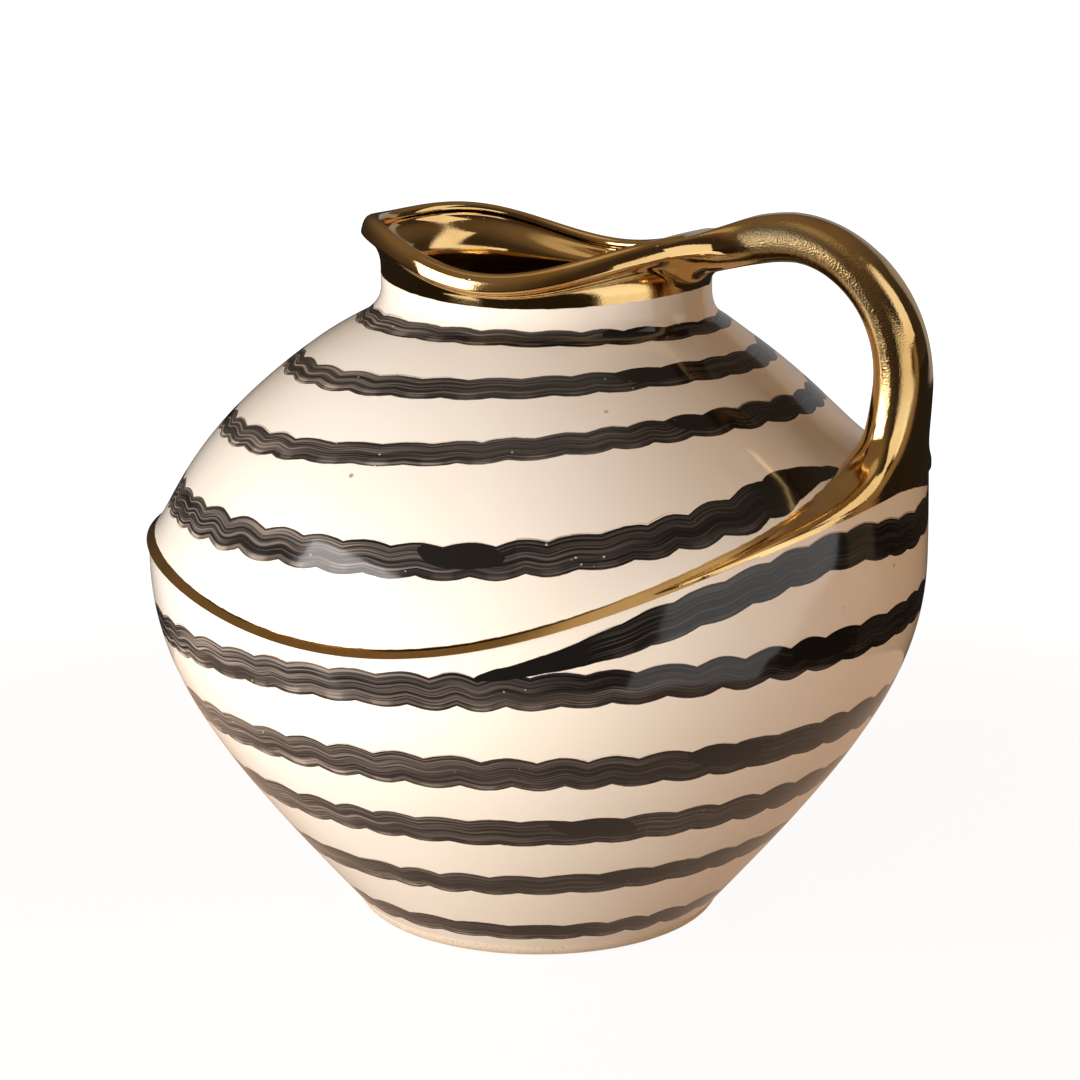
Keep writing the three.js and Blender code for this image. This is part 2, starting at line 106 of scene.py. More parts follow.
class Tone:
    """A socket of a finish. Sums and products of tones, and the like, add Math nodes to its tree."""

    def __init__(self, socket):
        self.socket = socket

    def node(self, kind, settings=None, links=None, output=0):
        """Adds a node of a kind, sets it up, fills its sockets, and gives one of its outputs."""
        tree = self.socket.id_data
        added = tree.nodes.new(kind)
        for name, value in (settings or {}).items():
            if name == "stops":
                ramp = added.color_ramp.elements
                while len(ramp) < len(value):
                    ramp.new(1)
                for stop, (place, colour) in zip(ramp, value):
                    stop.position = place
                    stop.color = colour
            else:
                setattr(added, name, value)
        for name, value in (links or {}).items():
            if isinstance(value, Tone):
                tree.links.new(value.socket, added.inputs[name])
            else:
                added.inputs[name].default_value = value
        return Tone(added.outputs[output])

    def math(self, operation, *others):
        """Math node on this tone and others, in that order."""
        values = dict(enumerate((self, *others)))
        return self.node("ShaderNodeMath", {"operation": operation}, values)

    def flip(self, operation, other):
        """Math node with this tone in the second place."""
        return self.node("ShaderNodeMath", {"operation": operation}, {0: other, 1: self})

    def __add__(self, other):
        return self.math("ADD", other)

    def __sub__(self, other):
        return self.math("SUBTRACT", other)

    def __mul__(self, other):
        return self.math("MULTIPLY", other)

    def __truediv__(self, other):
        return self.math("DIVIDE", other)

    def __rsub__(self, other):
        return self.flip("SUBTRACT", other)

    def __rtruediv__(self, other):
        return self.flip("DIVIDE", other)

    __radd__ = __add__
    __rmul__ = __mul__

    def step(self, low, high):
        """Cubic step from 0 at low to 1 at high."""
        settings = {"interpolation_type": "SMOOTHSTEP"}
        links = {"Value": self, "From Min": low, "From Max": high}
        return self.node("ShaderNodeMapRange", settings, links)

    def pick(self, colour_off, colour_on):
        """Colour that goes from one to the other as this tone goes from 0 to 1."""
        links = {0: self, 6: colour_off, 7: colour_on}
        return self.node("ShaderNodeMix", {"data_type": "RGBA"}, links, 2)

    def noise(self, scale, detail=2):
        """Cloudy noise about 0.5 over this vector."""
        links = {"Vector": self, "Scale": scale, "Detail": detail}
        return self.node("ShaderNodeTexNoise", None, links)

    def cells(self, scale):
        """Distance from this vector to the nearest of many scattered points."""
        return self.node("ShaderNodeTexVoronoi", None, {"Vector": self, "Scale": scale})

    def parts(self):
        """The three components of this vector."""
        outputs = self.node("ShaderNodeSeparateXYZ", None, {0: self}).socket.node.outputs
        return [Tone(output) for output in outputs]

    def stored(self, name, output="Fac"):
        """What the mesh keeps under a name, as a number or a vector."""
        return self.node("ShaderNodeAttribute", {"attribute_name": name}, output=output)

    def bump(self, strength, distance):
        """Normal of a surface that has this tone as its relief."""
        links = {"Strength": strength, "Distance": distance, "Height": self}
        return self.node("ShaderNodeBump", None, links)


def finish(name):
    """New material: its Principled shader, and the object coordinates as a first tone."""
    material = bpy.data.materials.new(name)
    material.use_nodes = True
    shader = material.node_tree.nodes["Principled BSDF"]
    place = material.node_tree.nodes.new("ShaderNodeTexCoord")
    return material, shader, Tone(place.outputs["Object"])


def feed(shader, links):
    """Links tones to a shader's sockets, or sets plain values on them."""
    tree = shader.id_data
    for name, value in links.items():
        if isinstance(value, Tone):
            tree.links.new(value.socket, shader.inputs[name])
        else:
            shader.inputs[name].default_value = value


def lean_at(height):
    """How far the body stands off its axis towards the handle.

    The dome leans back by a squared sine of its height, and the neck leans forward by a cubic step.
    """
    up_dome = np.clip((height - BELLY_HEIGHT) / (NECK_HEIGHT - BELLY_HEIGHT), 0, 1)
    forward = NECK_LEAN * smooth(height, NECK_LEAN_FROM, NECK_HEIGHT)
    return forward - DOME_LEAN * np.sin(np.pi * up_dome) ** 2


def turned(name, section, poles=()):
    """Piece thrown on the wheel: a section loop of radius and height stands at every angle.

    x = radius * cos(angle) + lean(height), y = radius * sin(angle), z = height.
    """
    section = np.broadcast_to(section, (TURN_STEPS, *section.shape[-2:]))
    radius, height = section[..., 0], section[..., 1]
    turn = angles[:, None]
    points = [radius * np.cos(turn) + lean_at(height), radius * np.sin(turn), height]
    return skin(name, np.stack(points, axis=-1), poles=poles)


belly_corners = [
    (FOOT_RADIUS, 0),
    (FOOT_RADIUS + FOOT_RUN * np.sin(FOOT_SPLAY), FOOT_RUN * np.cos(FOOT_SPLAY)),
    (BELLY_RADIUS, BELLY_HEIGHT - BELLY_RUN),
    (BELLY_RADIUS, BELLY_HEIGHT),
]
belly_line = bezier(belly_corners, np.linspace(0, 1, LINE_STEPS))


def belly_radius(height):
    """Radius of the bowl's outside at a height, and the belly's radius above it."""
    return np.interp(height, belly_line[:, 1], belly_line[:, 0])


foot_edge = belly_radius(FOOT_HEIGHT)
foot_inner = foot_edge - FOOT_WIDTH
foot_round = bezier(
    [(foot_edge - 2 * FOOT_ROUND, 0), (foot_edge - FOOT_ROUND / 2, 0), (foot_edge, FOOT_HEIGHT)],
    np.linspace(0, 1, 12),
)
foot_key = [
    (foot_edge - FOOT_ROUND, FOOT_HEIGHT),
    (foot_edge - FOOT_ROUND, FOOT_HEIGHT + FOOT_KEY),
    (foot_inner, FOOT_HEIGHT + FOOT_KEY),
    (foot_inner, FOOT_CHAMFER),
    (foot_inner + FOOT_CHAMFER, 0),
]
foot_ring = turned("foot_ring_biscuit", np.vstack([foot_round, foot_key]))

biscuit, shader, place = finish("biscuit_clay")
grit = place.noise(1400, 3).step(0.56, 0.68)
wear = place.noise(90, 2)
feed(shader, {
    "Base Color": (grit * 0.7).pick(wear.pick(BISCUIT, BISCUIT_PALE), BISCUIT_GRIT),
    "Roughness": 0.8 + 0.15 * wear,
    "Normal": place.noise(1800, 3).bump(0.35, 0.0002),
})
foot_ring.data.materials.append(biscuit)
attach(foot_ring, "root")
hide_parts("foot_ring")

# Bowl
# The lower half of the body, thrown as an open stoneware shell with a flat floor and glazed cream;
# inside it is painted dark brown as shade for its unlit depth. Its wavy dark stripes are brushed on by
# hand, in eight strokes that go round nearly level and two that follow the ledge, under a glaze that fires
# smooth and glossy.
WALL, FLOOR = 5, 7
FLOOR_ROUND = ((-3, -4), (-9, -WALL), (-16, -WALL))
NECK_RADIUS, NECK_FILLET, NECK_SWEEP = 46.1, 9.5, np.radians(63)
DOME_FOOT, DOME_RUN, DOME_TOP_RUN = 94.7, 41, 3.75
RIDGE_WAVE = (112.7, 9.9, 10.7, 1.5, -1.6)
SEAM_HEIGHT, SEAM_BEVEL = 92.973, 2
CREAM, CREAM_WARM = (0.865, 0.83, 0.785, 1), (0.855, 0.805, 0.74, 1)
GOLD, GOLD_DEEP = (0.92, 0.63, 0.28, 1), (0.78, 0.49, 0.18, 1)
WORN_GOLD, GOLD_PINHOLE = (0.17, 0.14, 0.09, 1), (0.95, 0.82, 0.55, 1)
# The first colour on the next line is painted shade: dark brown for the unlit inside of the vase
PAINTED_SHADE_INSIDE, SPECK = (0.25, 0.19, 0.14, 1), (0.2, 0.12, 0.07, 1)
FAR, RELOAD = 1000, 2000
# The strokes: their middles, waves, open ends, the patches where the brush was loaded, and thin paint
STROKE_TILT_ANGLE, STROKE_SAG_ANGLE, STROKE_SAG_WIDTH = np.radians((24, 20, 40))
OVER_HEIGHT, OVER_CLIMB, OVER_CLIMB_WIDTH = 123.3, 16.2, np.radians(48)
OVER_HUMP, OVER_HUMP_ANGLE, OVER_HUMP_WIDTH = 1.6, np.radians(-18), np.radians(9)
UNDER_DROP, UNDER_DIP, UNDER_DIP_WIDTH = 7, 6.3, np.radians(16)
WAVE_LENGTH, STROKE_APART, LEAF_STRETCH = 13.5, 37.3, 1.5
HUMP_LEVEL, HUMP_LAG = 0.55, 0.55
END_TAPER, END_WIDTH, END_CALM, END_DEPTH = 46, 0.32, (2, 32), 0.12
PATCH_MIDDLE, PATCH_HALF, PATCH_SLANT = 12.5, 10.5, 0.9
PATCH_RAISED, PATCH_SHARE, START_LENGTH, DRY_AFTER = 0.36, 0.76, (36, 27), 170
THINNEST, VEIL = 0.14, 0.24


def wave_at(angle, terms):
    """Cosine series: its mean, then one amplitude for each harmonic of the angle."""
    return sum(amplitude * np.cos(harmonic * angle) for harmonic, amplitude in enumerate(terms))


def swell(angle, middle, width):
    """Bell curve: 1 at its middle, and about a third at its width to either side."""
    return np.exp(-(((angle - middle) / width) ** 2))


def ridge_at(angle):
    """Height of the ledge round the shoulder, high at the handle and the spout, low at the sides."""
    return wave_at(angle, RIDGE_WAVE)


neck_centre = (NECK_RADIUS + NECK_FILLET, NECK_HEIGHT)
dome_top = (
    neck_centre[0] - NECK_FILLET * np.cos(NECK_SWEEP),
    neck_centre[1] - NECK_FILLET * np.sin(NECK_SWEEP),
)
dome_corners = [
    (BELLY_RADIUS, DOME_FOOT),
    (BELLY_RADIUS, DOME_FOOT + DOME_RUN),
    (dome_top[0] + DOME_TOP_RUN * np.sin(NECK_SWEEP), dome_top[1] - DOME_TOP_RUN * np.cos(NECK_SWEEP)),
    dome_top,
]
dome_line = bezier(dome_corners, np.linspace(0, 1, LINE_STEPS))
neck_turn = np.linspace(NECK_SWEEP, 0, 200)[1:]
neck_line = np.stack([
    neck_centre[0] - NECK_FILLET * np.cos(neck_turn),
    neck_centre[1] - NECK_FILLET * np.sin(neck_turn),
], axis=-1)
upper_line = np.vstack([dome_line, neck_line])


def climb(line, height):
    """Length along an outline from its start up to a height, carried on upright past its top."""
    length = np.append(0, np.cumsum(np.hypot(*np.diff(line, axis=0).T)))
    return np.interp(height, line[:, 1], length) + np.maximum(height - line[-1, 1], 0)


def tilted(height, tilt, sag=0):
    """Middle of a stroke that goes round level, but for a tilt up to the viewer's right and a sag there."""

    def middle(angle):
        dip = swell(angle, STROKE_SAG_ANGLE, STROKE_SAG_WIDTH)
        return height + tilt * np.cos(angle - STROKE_TILT_ANGLE) - sag * dip

    return middle


def over_ridge(angle):
    """Middle of the stroke above the ledge, which climbs towards the handle."""
    hump = OVER_HUMP * swell(angle, OVER_HUMP_ANGLE, OVER_HUMP_WIDTH)
    return OVER_HEIGHT + OVER_CLIMB * swell(angle, 0, OVER_CLIMB_WIDTH) + hump


def under_ridge(angle):
    """Middle of the stroke that follows the ledge from below and dips under the handle's root."""
    return ridge_at(angle) - UNDER_DROP - UNDER_DIP * swell(angle, 0, UNDER_DIP_WIDTH)


# Each stroke: middle, half width, depth of its waves, on the dome or the belly, radius there,
# direction of the brush and the angles where it was loaded again
level_strokes = [
    (tilted(172.1, -0.1, 0.8), 2.7, 0.75, True, 50, -1, (-20, 150)),
    (tilted(162.2, 2.7, 2.2), 3.6, 1, True, 65, -1, (-26, 170)),
    (tilted(149.5, 6.6, 4.9), 3.5, 1.15, True, 81, -1, (-22, -150, 80)),
    (tilted(93.9, 3.6), 4.5, 1.4, False, 109, -1, (-17, -150, 100)),
    (tilted(69.8, 1.0), 5.1, 1.55, False, 101, -1, (-30, 160, 60)),
    (tilted(50.0, 1.5), 5.2, 1.55, False, 90, -1, (-48, 170, 40)),
    (tilted(30.1, 2.0), 4.6, 1.5, False, 75, -1, (-36, 150, 60)),
    (tilted(10.2, 0.4), 3.8, 1.6, False, 58, -1, (-50, 120)),
]
ledge_strokes = [
    (over_ridge, 4.5, 1.6, True, 100, -1, (-11, -69, 140, 60)),
    (under_ridge, 4.9, 1.3, False, 110, 1, (-75, 20)),
]
# How far round from the handle the open end of each of the two lies
LEDGE_ENDS = np.radians([10.1, 72.8])


def brush(piece, name, strokes, turn, climb_belly, climb_dome, on_dome, ends=None):
    """Stores on every face corner where it lies in the nearest stroke.

    name: waves along the stroke, millimetres across it, its half width.
    name_load: millimetres since the brush was loaded, with RELOAD added where that was in the middle
    of the stroke, millimetres to its open end, depth of its waves.
    """
    middle_turn = turn.mean(axis=-1, keepdims=True)
    nearest = np.full((*turn.shape[:2], 1), np.inf)
    along = np.zeros((*turn.shape, 3))
    load = np.zeros((*turn.shape, 3))
    for number, (middle, half, depth, dome, radius, way, starts) in enumerate(strokes):
        line, here = (upper_line, climb_dome) if dome else (belly_line, climb_belly)
        across = here - climb(line, middle(turn))
        across = np.where(on_dome == dome, across, FAR)
        gap = np.abs(across).mean(axis=-1, keepdims=True) - half
        waves = turn * round(2 * np.pi * radius / WAVE_LENGTH) / (2 * np.pi) + STROKE_APART * number
        runs = way * (middle_turn - np.radians(starts)) % (2 * np.pi)
        last = np.take(np.radians(starts), runs.argmin(axis=-1))[..., None]
        since = runs.min(axis=-1, keepdims=True) + way * (turn - middle_turn)
        again = RELOAD * (np.ones_like(last) if ends is None else last != np.radians(starts[0]))
        to_end = np.full(turn.shape, FAR) if ends is None else (ends[number] - np.abs(turn)) * radius
        to_end = -LEAF_STRETCH * to_end if ends is not None and dome else to_end
        near = gap < nearest
        lies = np.stack(np.broadcast_arrays(waves, across, half), axis=-1)
        holds = np.stack(np.broadcast_arrays(since * radius + again, to_end, depth), axis=-1)
        along = np.where(near[..., None], lies, along)
        load = np.where(near[..., None], holds, load)
        nearest = np.minimum(gap, nearest)
    for title, values in ((name, along), (name + "_load", load)):
        stored = piece.data.attributes.new(title, "FLOAT_VECTOR", "CORNER")
        packed = np.full((len(piece.data.loops), 3), float(FAR))
        packed[: values[..., 0].size] = values.reshape(-1, 3)
        stored.data.foreach_set("vector", packed.ravel())


def painted(piece, section, seen, on_dome, poles=False):
    """Brushes the strokes of both kinds on the columns of a turned piece that are seen from outside."""
    section = np.broadcast_to(section, (TURN_STEPS, *section.shape[-2:]))
    step = 2 * np.pi / TURN_STEPS
    turn = np.stack([angles, angles + step, angles + step, angles], axis=-1)[:, None]
    here = section[..., 1]
    beyond = np.roll(here, -1, axis=0)
    height = np.stack([here, beyond, np.roll(beyond, -1, axis=1), np.roll(here, -1, axis=1)], axis=-1)
    if poles:
        height, on_dome, seen = height[:, :-1], on_dome[:-1], seen[:-1]
    turn = np.broadcast_to(turn, height.shape)
    belly = np.where(seen[:, None], climb(belly_line, height), -FAR)
    dome = np.where(seen[:, None], climb(upper_line, height), -FAR)
    dome_side = on_dome[:, None]
    brush(piece, "level", level_strokes, turn, belly, dome, dome_side)
    brush(piece, "ledge", ledge_strokes, turn, belly, dome, dome_side, LEDGE_ENDS)


def stroke_paint(place, name):
    """How thickly the dark paint of one kind of stroke lies: 0 bare, about 0.5 thin, 1 solid.

    A flat brush is rocked as it goes along, so both edges are rows of round humps between sharp
    notches, the lower ones half a wave on, and the bristle lines swing with them.
    """
    waves, across, half = place.stored(name, "Vector").parts()
    since, to_end, depth = place.stored(name + "_load", "Vector").parts()
    handle_side = place.parts()[0]
    again = since.math("GREATER_THAN", RELOAD - 100)
    since = since - RELOAD * again

    def drawn(along_scale, across_scale, apart, detail=1, over=across):
        """Noise drawn out along the stroke."""
        links = {0: waves * along_scale, 1: over * across_scale, 2: apart}
        return place.node("ShaderNodeCombineXYZ", None, links).noise(1, detail)

    # The two edges: humps of uneven depth, calmer where the stroke narrows to its open end
    waves = waves + 0.9 * (drawn(0.33, 0, 1.7) - 0.5)
    lively = drawn(0.21, 0, 5.1).step(0.32, 0.66)
    calm = (to_end - 300 * handle_side).step(*END_CALM)
    depth = depth * (0.5 + 0.8 * lively) * (END_DEPTH + (1 - END_DEPTH) * calm)
    taper = to_end.step(0, END_TAPER)
    across = across - (1 - taper) * (0.74 - 29 * handle_side)
    half = half * (END_WIDTH + (1 - END_WIDTH) * taper) * (0.9 + 0.2 * drawn(0.3, 0, 9.3))
    wobble = 0.35 * (drawn(5, 0.3, 2.2, 2) - 0.5)
    upper_hump = (waves * np.pi).math("COSINE").math("ABSOLUTE") - HUMP_LEVEL
    lower_hump = ((waves - HUMP_LAG) * np.pi).math("COSINE").math("ABSOLUTE") - HUMP_LEVEL
    above = half + depth * upper_hump + wobble - across
    below = half + depth * lower_hump - wobble + across
    bend = across * across / (half * half)
    inside = above.math("MINIMUM", below).math("MINIMUM", to_end + 3 - 5 * bend)

    # Bristle lines, which swing with the nearer edge
    high = (across / half).step(-1, 1)
    sway = high * high * upper_hump - (1 - high) * (1 - high) * lower_hump
    sway = sway + high * (1 - high) * ((waves - 0.03) * 2 * np.pi).math("COSINE")
    bristle = across - depth * sway + 0.5 * (drawn(0.8, 0.5, 2.9) - 0.5)
    lines = drawn(0.3, 1.5, 6.1, 2, bristle).step(0.38, 0.62)
    hairs = drawn(0.35, 2.6, 3.3, 2, bristle)
    bands = drawn(0.3, 0.4, 7.7, 1, bristle)

    # Thickness: less as the brush runs dry, more on the side of the handle, solid where it was loaded
    spent = since.step(0, DRY_AFTER)
    dry = below.step(3.4, 0.3) * ((waves - 0.3) * 2 * np.pi).math("SINE").step(-0.1, 0.9)
    thickness = 0.79 + 1.7 * handle_side - 0.08 * spent + 0.5 * (bands - 0.5)
    thickness = thickness + (0.4 - 1.6 * handle_side) * (lines - 0.55) + 0.55 * (hairs - 0.5)
    thickness = thickness - (0.2 - handle_side) * dry * (0.6 + 0.8 * hairs)
    far_along = (since - PATCH_MIDDLE - PATCH_SLANT * across) / PATCH_HALF
    far_along = far_along + 0.25 * (drawn(1.1, 0.3, 4.4) - 0.5)
    far_across = (across / half - PATCH_RAISED) / PATCH_SHARE + 0.3 * (drawn(1.2, 0, 6.6) - 0.5)
    patch = (far_along.math("POWER", 4) + far_across * far_across).step(1.06, 0.94)
    start = since.step(*START_LENGTH)
    fresh = patch * again + start * (1 - again)
    thickness = thickness + fresh * (0.97 + 0.1 * (hairs - 0.5) - thickness)

    # Pinholes, a darker line along the edges, and a thin veil that the bristles leave below the stroke
    pin = place.cells(240).step(0.1, 0.06) * drawn(0.5, 0.2, 8.8).step(0.55, 0.62)
    edge = inside.step(0.8, 0.15) * 0.1
    solid = (thickness + edge - 0.6 * pin).math("MAXIMUM", THINNEST).math("MINIMUM", 1)
    solid = solid * inside.step(-0.1, 0.12)
    veil = (inside + 1.5 * bands).step(0.1, 0.75) * hairs.step(0.42, 0.6) * VEIL * (0.4 + spent)
    return solid.math("MAXIMUM", veil * (to_end - 6).step(0, 4) * above.step(0.6, -0.2))


def gilding(place):
    """Colour, roughness and relief of brushed gold lustre: brown where it lies thin, with fine grain."""
    cloud = place.noise(55, 3)
    grain = place.noise(2300, 2)
    patch = place.noise(38, 2).step(0.4, 0.6)
    pinhole = place.cells(330).step(0.11, 0.07) * place.noise(70, 1).step(0.56, 0.64)
    colour = cloud.step(0.3, 0.62).pick(GOLD_DEEP, GOLD)
    colour = (pinhole * 0.7).pick(colour, GOLD_PINHOLE)
    worn = place.stored("worn")
    colour = (worn * 0.9).pick(colour, WORN_GOLD)
    rough = 0.045 + 0.04 * patch + 0.03 * cloud + 0.34 * worn
    height = (0.05 + 0.2 * patch) * grain + 7 * worn * place.noise(2100, 2)
    height = height + 0.5 * place.noise(110, 1) + 0.06 * place.noise(420, 1) - 0.3 * pinhole
    return colour, rough, height


glaze, shader, place = finish("painted_glaze")
drift = place.noise(24, 2)
cream = drift.step(0.35, 0.7).pick(CREAM, CREAM_WARM)
speck = place.cells(75).step(0.06, 0.035) * place.noise(45, 1).step(0.6, 0.66)
cream = (speck * 0.75).pick(cream, SPECK)
# Painted shade: the inside of the vase is coloured dark brown for the shade deep within it
cream = place.stored("inner").pick(cream, PAINTED_SHADE_INSIDE)
level = stroke_paint(place, "level")
ledge = stroke_paint(place, "ledge")
paint = level + ledge * (1 - 0.4 * level)
pigment = paint.node("ShaderNodeValToRGB", {"stops": [
    (0.12, (0.58, 0.5, 0.44, 1)),
    (0.3, (0.28, 0.238, 0.213, 1)),
    (0.52, (0.1, 0.085, 0.078, 1)),
    (0.75, (0.034, 0.03, 0.0285, 1)),
    (0.97, (0.0085, 0.008, 0.008, 1)),
]}, {0: paint})
surface = paint.step(0.02, 0.14).pick(cream, pigment)
gilt = (place.stored("gilt") + 0.5 * (place.noise(260, 2) - 0.5)).step(-0.08, 0.1)
gold_colour, gold_rough, gold_height = gilding(place)
orange_peel = 0.7 * place.noise(150, 1) + 0.05 * place.noise(700, 1)
relief = orange_peel + gilt * (gold_height - orange_peel)
feed(shader, {
    "Base Color": gilt.pick(surface, gold_colour),
    "Roughness": 0.07 + 0.04 * drift + gilt * (gold_rough - 0.08),
    "Metallic": gilt,
    "IOR": 1.52,
    "Normal": relief.bump(0.12, 0.0006),
})


def gild(piece, amount, within):
    """Stores for every point where it lies.

    gilt: millimetres inside the edge of the gilding, negative outside it.
    inner: 1 within the vase, where it is painted dark brown as shade, else 0.
    """
    for title, values, rest in (("gilt", amount, -FAR), ("inner", within, 1)):
        stored = piece.data.attributes.new(title, "FLOAT", "POINT")
        packed = np.full(len(piece.data.vertices), float(rest))
        packed[: values.size] = values.ravel()
        stored.data.foreach_set("value", packed)


crowd = np.sin(np.linspace(0, np.pi / 2, 110))
belly_heights = FOOT_HEIGHT + (SEAM_HEIGHT - FOOT_HEIGHT) * crowd
bowl_outside = np.stack([belly_radius(belly_heights), belly_heights], axis=-1)
belly_way = np.gradient(belly_line, axis=0)
belly_way = belly_way / np.hypot(*belly_way.T)[:, None]
belly_inner = belly_line + WALL * np.stack([-belly_way[:, 1], belly_way[:, 0]], axis=-1)
inner_heights = np.linspace(SEAM_HEIGHT - 1, FOOT_HEIGHT + FLOOR + WALL, 40)
inner_radii = np.interp(inner_heights, belly_inner[:, 1], belly_inner[:, 0])
bowl_inside = np.stack([inner_radii, inner_heights], axis=-1)
floor_corners = [bowl_inside[-1], *(bowl_inside[-1] + np.array(FLOOR_ROUND))]
floor_round = bezier(floor_corners, np.linspace(0, 1, 10)[1:])
seam_inner = bowl_outside[-1, 0] - WALL
foot_groove = [
    (foot_inner, FOOT_HEIGHT),
    (foot_inner, FOOT_HEIGHT + FOOT_KEY),
    (foot_edge - FOOT_ROUND, FOOT_HEIGHT + FOOT_KEY),
    (foot_edge - FOOT_ROUND, FOOT_HEIGHT),
]
bowl_section = np.vstack([
    foot_groove,
    bowl_outside,
    [(seam_inner, SEAM_HEIGHT + SEAM_BEVEL)],
    bowl_inside,
    floor_round,
])
bowl_poles = [(0, 0, FOOT_HEIGHT), (0, 0, FOOT_HEIGHT + FLOOR)]
bowl = turned("bowl_glazed", bowl_section, bowl_poles)
column = np.arange(len(bowl_section))
inside_start = len(foot_groove) + len(bowl_outside)
bowl_seen = (column >= len(foot_groove)) & (column < inside_start - 1)
painted(bowl, bowl_section, bowl_seen, np.zeros(len(column), bool), poles=True)
# Painted shade: the bowl's inside columns take the dark brown
bowl_within = np.broadcast_to(column >= inside_start, (TURN_STEPS, len(column)))
gild(bowl, np.full(TURN_STEPS, -float(FAR)), bowl_within)
bowl.data.materials.append(glaze)
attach(bowl, "root")
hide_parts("bowl")

# Shoulder
# The upper half of the body, thrown apart and luted to the bowl: a skirt that ends in a wavy ledge,
# the dome that sweeps up from it, and the neck. Same glaze and brush strokes as the bowl.
LEDGE_FILLET, SWEEP_CROWDING, INSIDE_STOP = 4.5, 1.6, 120
BAND_HEIGHT, BAND_RISE, BAND_RISE_ANGLE, BAND_BITE = 2, 3.6, np.radians(22), 1
SEAT_WAVE = (NECK_HEIGHT + 2.2, -1.6, 1.7)
GILT_EDGE, NECK_GILT_FOOT = 0.2, 160
ROOT_GILT_DROP, ROOT_GILT_ANGLE = 5.9, np.radians(18)


def band_top_at(angle):
    """Top of the band: a little above the ledge, and higher up the sweep towards the handle."""
    return ridge_at(angle) + BAND_HEIGHT + BAND_RISE * swell(angle, 0, BAND_RISE_ANGLE)


def swept_radius(angle, height):
    """Outside of the dome, plus the ledge's overhang dying away exponentially above the ledge."""
    ridge = ridge_at(angle)
    proud = BELLY_RADIUS - np.interp(ridge, dome_line[:, 1], dome_line[:, 0])
    overhang = proud * np.exp(-(height - ridge) / LEDGE_FILLET)
    return np.interp(height, dome_line[:, 1], dome_line[:, 0]) + overhang


def grid_section(*columns):
    """Joins runs of section points, each the same at all angles or given for every angle."""
    runs = [np.broadcast_to(run, (TURN_STEPS, *np.shape(run)[-2:])) for run in columns]
    return np.concatenate(runs, axis=1)


turn = angles[:, None]
skirt_share = 1 - np.cos(np.linspace(0, np.pi / 2, 18))
skirt_height = SEAM_HEIGHT + (ridge_at(turn) - SEAM_HEIGHT) * skirt_share
skirt = np.stack([belly_radius(skirt_height), skirt_height], axis=-1)
sweep_share = np.linspace(0, 1, 90) ** SWEEP_CROWDING
sweep_height = band_top_at(turn) + (dome_top[1] - band_top_at(turn)) * sweep_share
sweep = np.stack([swept_radius(turn, sweep_height), sweep_height], axis=-1)
rebate = sweep[:, :1, 0] - BAND_BITE
groove = np.stack([np.hstack([rebate, rebate]), np.hstack([ridge_at(turn), band_top_at(turn)])], axis=-1)
neck_points = neck_line[::14]
neck_seat = np.stack([np.full_like(turn, NECK_RADIUS), wave_at(turn, SEAT_WAVE)], axis=-1)
neck_inner = neck_seat - (WALL, 0)
dome_way = np.gradient(upper_line, axis=0)
dome_way = dome_way / np.hypot(*dome_way.T)[:, None]
dome_inner = upper_line + WALL * np.stack([-dome_way[:, 1], dome_way[:, 0]], axis=-1)
dome_inside = dome_inner[::-1][np.linspace(0, len(dome_inner) - INSIDE_STOP, 50).astype(int)]
shoulder_section = grid_section(
    skirt,
    groove,
    sweep,
    neck_points,
    neck_seat,
    neck_inner,
    dome_inside,
    [(seam_inner, SEAM_HEIGHT + SEAM_BEVEL)],
)
shoulder = turned("shoulder_glazed", shoulder_section)
column = np.arange(shoulder_section.shape[1])
sweep_start = skirt.shape[1] + groove.shape[1]
inside_start = sweep_start + sweep.shape[1] + len(neck_points) + 1
painted(shoulder, shoulder_section, column < inside_start - 1, column >= sweep_start)
height = shoulder_section[..., 1]
root_gilt = ridge_at(turn) - ROOT_GILT_DROP * swell(turn, ROOT_GILT_ANGLE, ROOT_GILT_ANGLE)
on_skirt = np.where(column < sweep_start, height - root_gilt - GILT_EDGE / 2, -FAR)
above_band = np.where(column >= sweep_start, band_top_at(turn) + GILT_EDGE - height, -FAR)
at_seat = height - wave_at(turn, SEAT_WAVE) + GILT_EDGE
inside_neck = np.where(column >= inside_start, height - NECK_GILT_FOOT, -FAR)
# Painted shade: the shoulder's inside columns, below the gilded neck, take the dark brown
shoulder_within = np.broadcast_to(column >= inside_start, height.shape)
gild(shoulder, np.max([on_skirt, above_band, at_seat, inside_neck], axis=0), shoulder_within)
shoulder.data.materials.append(glaze)
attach(shoulder, "root")
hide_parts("shoulder")

# Ridge band
# The thin coil of clay laid along the edge of the ledge and rounded with a wet finger.
# It carries the gold line, and climbs into the root of the handle.
BAND_PROUD, BAND_LEAN = 0.65, 1.25
BAND_FADE, BAND_FADE_FROM, BAND_FADE_TO = 0.04, np.radians(45), np.radians(80)

band_share = np.linspace(0, 1, 15)
band_rise = band_top_at(turn) - ridge_at(turn)
band_height = ridge_at(turn) + band_rise * band_share
band_fade = BAND_FADE + (1 - BAND_FADE) * smooth(np.abs(turn), BAND_FADE_FROM, BAND_FADE_TO)
band_bulge = band_fade * (BAND_PROUD - BAND_LEAN * band_share)
band_outside = np.stack([
    swept_radius(turn, band_height) + band_bulge,
    band_height,
], axis=-1)
ridge_band = turned("ridge_band_gilded", grid_section(band_outside, groove[:, ::-1]))

lustre, shader, place = finish("gold_lustre")
gold_colour, gold_rough, gold_height = gilding(place)
feed(shader, {
    "Base Color": gold_colour,
    "Roughness": gold_rough,
    "Metallic": 1,
    "Normal": gold_height.bump(0.16, 0.0006),
})
ridge_band.data.materials.append(lustre)
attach(ridge_band, "root")
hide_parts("ridge_band")

